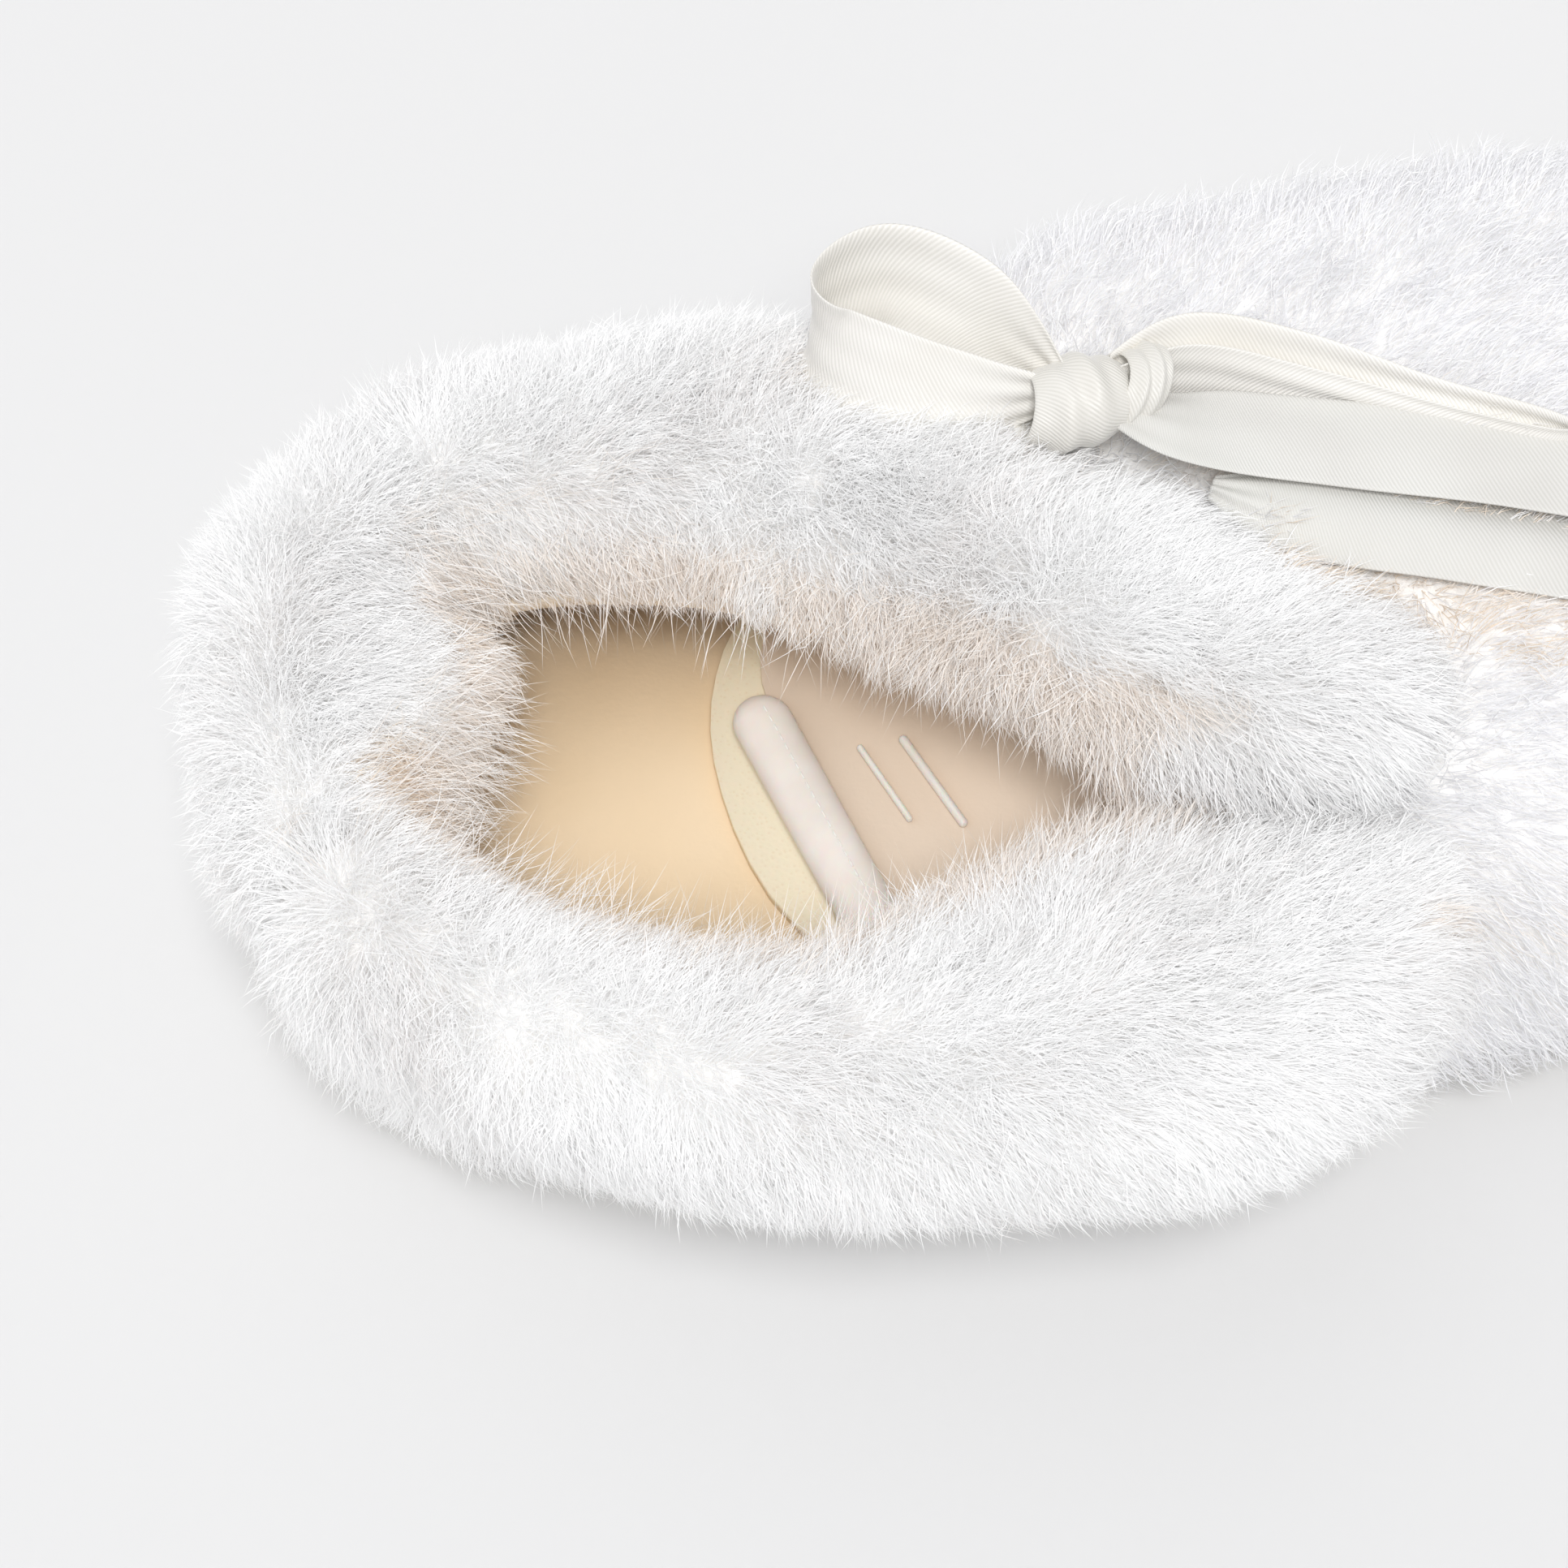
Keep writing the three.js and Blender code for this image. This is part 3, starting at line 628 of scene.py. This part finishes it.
def hair_mesh(name, roots, middles, tips, turns, tones, width=PILE_WIDTH):
    """Tapered hairs of two segments, each five points and three faces."""
    count = len(roots)
    side = unit(np.cross(tips - roots, turns))
    base_half, middle_half = 0.5 * width, 0.42 * width
    points = np.stack([
        roots - side * base_half, roots + side * base_half,
        middles + side * middle_half, middles - side * middle_half, tips], axis=1)
    first = np.arange(count)[:, None] * 5
    quads = first + np.array([[0, 1, 2, 3]])
    ends = first + np.array([[3, 2, 4]])
    mesh = bpy.data.meshes.new(name)
    mesh.vertices.add(count * 5)
    mesh.vertices.foreach_set("co", points.astype(np.float32).ravel())
    corner_list = np.concatenate([quads, ends], axis=1).ravel()
    starts = (np.arange(count)[:, None] * 7 + np.array([[0, 4]])).ravel()
    mesh.loops.add(count * 7)
    mesh.loops.foreach_set("vertex_index", corner_list.astype(np.int32))
    mesh.polygons.add(count * 2)
    mesh.polygons.foreach_set("loop_start", starts.astype(np.int32))
    mesh.polygons.foreach_set("material_index", np.repeat(tones, 2).astype(np.int32))
    mesh.update()
    mesh.validate()
    return mesh


def grow_pile(node_name, thousands, length_mm, seed):
    """Grows the pile of one skin, in pieces of at most STRANDS_PER_PIECE hairs."""
    random = np.random.default_rng(RANDOM_SEED + seed)
    skin = merged_copy(node_name)
    bmesh.ops.triangulate(skin, faces=skin.faces)
    mesh = bpy.data.meshes.new(node_name + "_skin")
    skin.to_mesh(mesh)
    skin.free()
    count = thousands * 1000
    roots, flat, room = roots_on(mesh, count, random)
    normals = smooth_normals(mesh, roots, flat)
    lie = combed(roots, normals, random)
    length = length_mm * MM * random.uniform(0.55, 1.0, (count, 1)) ** 0.7
    length *= 1 + 0.12 * waves(roots, 18 * MM, 31)[:, :1]
    facing, along_mouth = facing_mouth(roots, normals)
    length *= 1 + facing * (
        THROAT_LENGTHENING * along_mouth ** 3 - HEEL_SHORTENING * (1 - along_mouth))
    notch = np.clip(1 - nearest_notch(roots) / NOTCH_REACH, 0, 1)
    length *= 1 - 0.6 * notch[:, None]
    rise = RISE + RISE_SPREAD * waves(roots, 14 * MM, 32)[:, :1]
    rise = rise + RISE_SPREAD * random.normal(size=(count, 1))
    rise = np.clip(rise, 0.2, 1.3) * np.clip(room[:, None] / STANDING_ROOM, 0.35, 1)
    tips = roots + length * unit(rise * normals + lie)
    tips = drawn_into_locks(roots, tips, random)
    tips[:, 2] = np.maximum(tips[:, 2], 0.3 * MM)
    share = clear_of_ribbon(roots, tips)
    under_ribbon = share[:, 0] < 1
    tips = roots + (tips - roots) * share
    curve = 0.16 * share + 0.03 * random.normal(size=(count, 1))
    middles = 0.5 * (roots + tips) + normals * length * curve
    roots = roots - normals * 0.3 * MM
    turns = unit(normals + 0.55 * random.normal(size=normals.shape))
    tones = tones_of(roots, tips, random)
    # Most vamp hairs take the cool grey tone: painted shade of the cuff over the vamp.
    if node_name == "vamp_fur":
        tones[random.random(count) < 0.7] = COOL_SHADE
    # Hairs cut short by the satin take the warm tone: painted shade under the ribbon.
    tones[under_ribbon] = WARM_SHADE
    # Hairs beside the lower tail take the tan tone: painted shade under the tail, fading out towards the
    # toe.
    fade_start, fade_end = TAN_SHADE_FADE
    tan_shade_share = TAN_SHADE_SHARE * np.clip((fade_end - roots[:, 0]) / (fade_end - fade_start), 0, 1)
    tones[near_tail(roots) & (random.random(count) < tan_shade_share)] = TAN_SHADE
    # Hairs at the tuft's seams take the tan tone: painted shade in the parted pile.
    tones[random.random(count) < 1.2 * notch] = TAN_SHADE
    pieces = []
    for part, start in enumerate(range(0, count, STRANDS_PER_PIECE)):
        rows = slice(start, start + STRANDS_PER_PIECE)
        name = f"{node_name}_pile_{part + 1}"
        hairs = hair_mesh(
            name, roots[rows], middles[rows], tips[rows], turns[rows], tones[rows])
        pieces.append(placed(hairs, name, hair_tones))
    bpy.data.meshes.remove(mesh)
    return pieces


def grow_guard_hairs(node_name, count, seed):
    """Single long hairs that stand out over the opening."""
    random = np.random.default_rng(RANDOM_SEED + 100 + seed)
    mesh = nodes[node_name].data
    roots, normals, _ = roots_on(mesh, count * 12, random)
    facing, _ = facing_mouth(roots, normals)
    rim = (facing[:, 0] > 0.45) & (roots[:, 2] > 36 * MM)
    roots, normals = roots[rim][:count], normals[rim][:count]
    lie = combed(roots, normals, random) + 0.5 * random.normal(size=roots.shape)
    length = GUARD_LENGTH * random.uniform(0.6, 1.0, (len(roots), 1))
    tips = roots + length * unit(0.9 * normals + 0.7 * lie)
    middles = 0.5 * (roots + tips) + normals * length * 0.1
    turns = unit(normals + 0.6 * random.normal(size=normals.shape))
    # Most guard hairs hang over the opening and take its painted warm shade.
    tones = np.where(random.random(len(roots)) < 0.6, WARM_SHADE, WHITE)
    hairs = hair_mesh(
        node_name + "_guard_hairs", roots, middles, tips, turns, tones, 0.7 * PILE_WIDTH)
    return placed(hairs, node_name + "_guard_hairs", hair_tones)


def pelt(node_name):
    """The knitted backing of one fur part, rounded, in place of its CAD solid."""
    return soft_copy(node_name, node_name + "_backing", fur_backing, 1)


for seed, (node_name, (thousands, length_mm)) in enumerate(PELTS.items()):
    pelt(node_name)
    grow_pile(node_name, thousands, length_mm, seed)
    if node_name in GUARD_HAIRS:
        grow_guard_hairs(node_name, GUARD_HAIRS[node_name], seed)

# ---- Satin bow ----

RIBBON_WIDTH = 11.5 * MM
RIBBON_THICKNESS = 0.35 * MM
# The two waves that ripple along every strip, in radians for each metre: 30 mm and 70 mm long.
FINE_RIPPLE = 210
BROAD_RIPPLE = 90


def spline(points, u):
    """A point on a smooth line through the points, at u from 0 to 1."""
    reach = u * (len(points) - 1)
    index = min(int(reach), len(points) - 2)
    t = reach - index
    before = points[max(index - 1, 0)]
    start, end = points[index], points[index + 1]
    after = points[min(index + 2, len(points) - 1)]
    return 0.5 * (
        2 * start + (end - before) * t
        + (2 * before - 5 * start + 4 * end - after) * t ** 2
        + (3 * start - before - 3 * end + after) * t ** 3)


def ribbon_strip(name, route, finish, fold=0.0, steps=72):
    """A satin strip along (x, y, z, roll in degrees, share of the width) points in millimetres.

    fold lifts the middle of the strip into a shallow lengthwise fold.
    """
    line = [Vector(p[:3]) * MM for p in route]
    rolls = [Vector((math.radians(p[3]), p[4], 0)) for p in route]
    centres = [spline(line, i / steps) for i in range(steps + 1)]
    length = sum((b - a).length for a, b in zip(centres, centres[1:]))
    shares = [spline(rolls, i / steps).y for i in range(steps + 1)]
    made = bmesh.new()
    bmesh.ops.create_grid(made, x_segments=steps, y_segments=10, size=0.5)
    layer = made.loops.layers.uv.new("ribbon")
    for face in made.faces:
        for corner in face.loops:
            place = corner.vert.co
            corner[layer].uv = ((place.x + 0.5) * length, place.y * RIBBON_WIDTH)
    for vertex in made.verts:
        u, v = vertex.co.x + 0.5, vertex.co.y
        ahead = (spline(line, min(u + 0.01, 1)) - spline(line, max(u - 0.01, 0))).normalized()
        roll, share, _ = spline(rolls, u)
        across = ahead.cross(Vector((0, 0, 1))).normalized()
        across.rotate(Matrix.Rotation(roll, 3, ahead))
        gathers = (1 - share) * math.sin(v * 19) * 0.9 * MM
        fine = math.sin(u * length * FINE_RIPPLE + v * 5) * 0.2 * MM
        broad = math.sin(u * length * BROAD_RIPPLE + 2) * 0.25 * MM
        crown = fold * MM * (math.cos(v * math.tau) * 0.5 + 0.5)
        bow = crown + (fine + broad) * (0.3 + abs(v)) + gathers
        vertex.co = spline(line, u) + across * v * RIBBON_WIDTH * share + across.cross(ahead) * bow
    piece = finished(made, name, [finish])
    thickness = piece.modifiers.new("Cloth thickness", "SOLIDIFY")
    thickness.thickness = RIBBON_THICKNESS
    thickness.offset = 0
    smoothed(piece, 1)
    share = min(1.0, sum(shares) / len(shares))
    return piece


knot_low, knot_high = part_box("ribbon_knot")
KNOT = (knot_low + knot_high) / 2 / MM


def from_knot(*route):
    """Route points given from the middle of the knot, in millimetres."""
    return [(KNOT.x + x, KNOT.y + y, KNOT.z + z, roll, share) for x, y, z, roll, share in route]


tail_upper = ribbon_strip(
    "bow_tail_upper",
    from_knot(
        (3, -1.5, 0, 0, 0.45), (9, -5, 0.3, -6, 0.8), (16, -7, 0.2, -4, 1.0), (27, -9.5, -0.4, 0, 1.0),
        (40, -13, -0.9, 0, 1.0), (54, -17.5, -1.2, 0, 1.0), (70, -22, -1.6, 0, 1.0),
        (86, -25.5, -3.4, 0, 1.0), (97, -26.5, -5, 0, 1.0)),
    satin_shaded_copy, fold=0.35)
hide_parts("ribbon_tail_upper")

tail_lower = ribbon_strip(
    "bow_tail_lower",
    from_knot(
        (12, -12, -2.6, 16, 0.25), (18, -15, -2.6, 12, 0.75), (26, -18, -2.6, 6, 1.0),
        (37, -21.5, -2.9, 0, 1.0), (50, -26, -3.2, -4, 1.0), (63, -31.5, -3.8, -6, 1.0),
        (76, -38, -5, -8, 1.0), (86, -43, -6.6, -10, 1.0)),
    satin_shaded_copy, fold=0.9)
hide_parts("ribbon_tail_lower")

loop_left = ribbon_strip(
    "bow_loop_left",
    from_knot(
        (-4, 1, 0, -60, 0.4), (-12, 1.5, 0.2, -54, 0.85), (-21, 4.5, 0.4, -52, 1.1),
        (-28, 10, 0.6, -66, 1.15), (-27.5, 15.5, 1.4, -98, 1.15), (-20, 17.2, 2.2, -122, 1.2),
        (-12, 12.4, 2.2, -130, 1.1), (-6.5, 6.5, 1.2, -120, 0.8), (-2.5, 1.5, 0.5, -100, 0.4)),
    satin_lit_copy, fold=0.3)
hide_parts("ribbon_loop_left")

loop_right = ribbon_strip(
    "bow_loop_right",
    from_knot(
        (3, 0.5, 0.3, -100, 0.5), (12, 1, -0.4, -116, 0.8), (24, -2.6, -1.4, -118, 0.7),
        (38, -8.3, -2.2, -118, 0.6), (50, -12.6, -2.8, -112, 0.6), (54, -12.4, -2.4, -95, 0.6),
        (50, -10.6, -2, -72, 0.6), (38, -5.9, -1.3, -60, 0.65), (24, 0.4, -0.6, -56, 0.85),
        (12, 3.6, 0.2, -56, 0.9), (3, 2.4, 0.4, -75, 0.5)),
    satin_lit_copy, fold=0.2)
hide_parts("ribbon_loop_right")


def knot_wrap(name, middle, half_y, half_z, lean, share, swelling, finish):
    """A band of ribbon pulled round the knot, leaning forwards over its top."""
    route = []
    for step in range(13):
        angle = math.tau * step / 12 - math.pi / 2
        route.append((
            middle[0] + lean * math.sin(angle), middle[1] + half_y * math.cos(angle),
            middle[2] + half_z * math.sin(angle), 0, share))
    return band_round(name, from_knot(*route), swelling, finish)


def band_round(name, route, swelling, finish, steps=64):
    """A gathered band along a closed line, with its width along +X and its folds along its length."""
    line = [Vector(p[:3]) * MM for p in route]
    made = bmesh.new()
    bmesh.ops.create_grid(made, x_segments=steps, y_segments=14, size=0.5)
    layer = made.loops.layers.uv.new("ribbon")
    length = sum((b - a).length for a, b in zip(line, line[1:]))
    centre = sum(line[:-1], Vector()) / (len(line) - 1)
    share = route[0][4]
    for face in made.faces:
        for corner in face.loops:
            corner[layer].uv = ((corner.vert.co.x + 0.5) * length, corner.vert.co.y * RIBBON_WIDTH)
    for vertex in made.verts:
        u, v = vertex.co.x + 0.5, vertex.co.y
        place = spline(line, u)
        outwards = (place - centre).normalized()
        swell = swelling * (math.cos(v * math.pi) - 0.65)
        painted_fold_sheen = 0.42 * math.sin(v * 17 + 3.0 * math.sin(u * math.tau)) * math.cos(v * math.pi)
        twist = 1.1 * math.sin(u * math.tau + v * 2)
        vertex.co = place + outwards * (swell + painted_fold_sheen) * MM
        vertex.co.x += (v * RIBBON_WIDTH / MM * share + twist * 0.4) * MM
    bmesh.ops.remove_doubles(made, verts=made.verts, dist=0.02 * MM)
    bmesh.ops.recalc_face_normals(made, faces=made.faces)
    piece = finished(made, name, [finish])
    thickness = piece.modifiers.new("Cloth thickness", "SOLIDIFY")
    thickness.thickness = RIBBON_THICKNESS
    thickness.offset = -1
    smoothed(piece, 1)
    return piece


def knot_core(node_name, name, scale):
    """The rolled ribbon inside the knot, with its folds."""
    made = merged_copy(node_name)
    low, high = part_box(node_name)
    middle = (low + high) / 2
    bmesh.ops.scale(made, vec=(scale, scale, scale), space=Matrix.Translation(-middle), verts=made.verts)
    layer = made.loops.layers.uv.new("ribbon")
    for face in made.faces:
        for corner in face.loops:
            corner[layer].uv = (corner.vert.co.x, corner.vert.co.y + corner.vert.co.z)
    piece = finished(made, name, [satin_shaded_copy])
    smoothed(piece, 1)
    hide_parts(node_name)
    return piece


knot_core("ribbon_knot", "bow_knot_core", 0.72)
knot_core("ribbon_anchor", "bow_anchor", 1.0)
knot_wrap("bow_knot_wrap", (-1.5, -0.5, 0), 4.9, 4.2, 1.0, 1.0, 1.9, satin_half_lit_copy)
knot_wrap("bow_knot_second_wrap", (4.9, 0.6, 0.3), 4.4, 4.1, 2.6, 0.5, 0.9, satin_half_lit_copy)

# ---- Studio ----

CAMERA_AZIMUTH = math.radians(-8)
CAMERA_ELEVATION = math.radians(62)
CAMERA_DISTANCE = 0.490
CAMERA_TARGET = Vector((-0.060, 0, 0.034))


def studio():
    """The floor, the soft lights and the camera."""
    floor_mesh = bmesh.new()
    bmesh.ops.create_grid(floor_mesh, x_segments=2, y_segments=2, size=3)
    mesh = bpy.data.meshes.new("studio_floor")
    floor_mesh.to_mesh(mesh)
    floor_mesh.free()
    floor = bpy.data.objects.new("studio_floor", mesh)
    mesh.materials.append(studio_paper())
    bpy.context.scene.collection.objects.link(floor)

    world = bpy.data.worlds.new("Studio")
    bpy.context.scene.world = world
    world.use_nodes = True
    background = world.node_tree.nodes["Background"]
    background.inputs["Color"].default_value = linear("#fdfdff")
    background.inputs["Strength"].default_value = 0.46

    # Soft suns: one from the viewer's side, a high one that casts the short shadow, one from behind.
    for name, place, spread, strength in (
        ("Front", (-0.07, -0.45, 0.9), 20, 1.2),
        ("High", (0.04, -0.30, 1.0), 12, 0.75),
        ("Back", (-0.35, 0.55, 0.75), 90, 0.6),
    ):
        light = bpy.data.lights.new(name, "SUN")
        light.energy = strength
        light.angle = math.radians(spread)
        lamp = bpy.data.objects.new(name, light)
        lamp.rotation_euler = Vector(place).to_track_quat("Z", "Y").to_euler()
        bpy.context.scene.collection.objects.link(lamp)

    back = Vector((
        math.sin(CAMERA_AZIMUTH) * math.cos(CAMERA_ELEVATION),
        -math.cos(CAMERA_AZIMUTH) * math.cos(CAMERA_ELEVATION),
        math.sin(CAMERA_ELEVATION)))
    lens = bpy.data.cameras.new("Camera")
    lens.lens = 100
    lens.sensor_width = 36
    camera = bpy.data.objects.new("Camera", lens)
    camera.location = CAMERA_TARGET + back * CAMERA_DISTANCE
    camera.rotation_euler = (-back).to_track_quat("-Z", "Y").to_euler()
    bpy.context.scene.collection.objects.link(camera)
    bpy.context.scene.camera = camera
    scene = bpy.context.scene
    scene.view_settings.view_transform = "Standard"
    # White pile passes light on from hair to hair many times before it comes out again.
    scene.cycles.diffuse_bounces = 12
    scene.cycles.max_bounces = 16


studio()
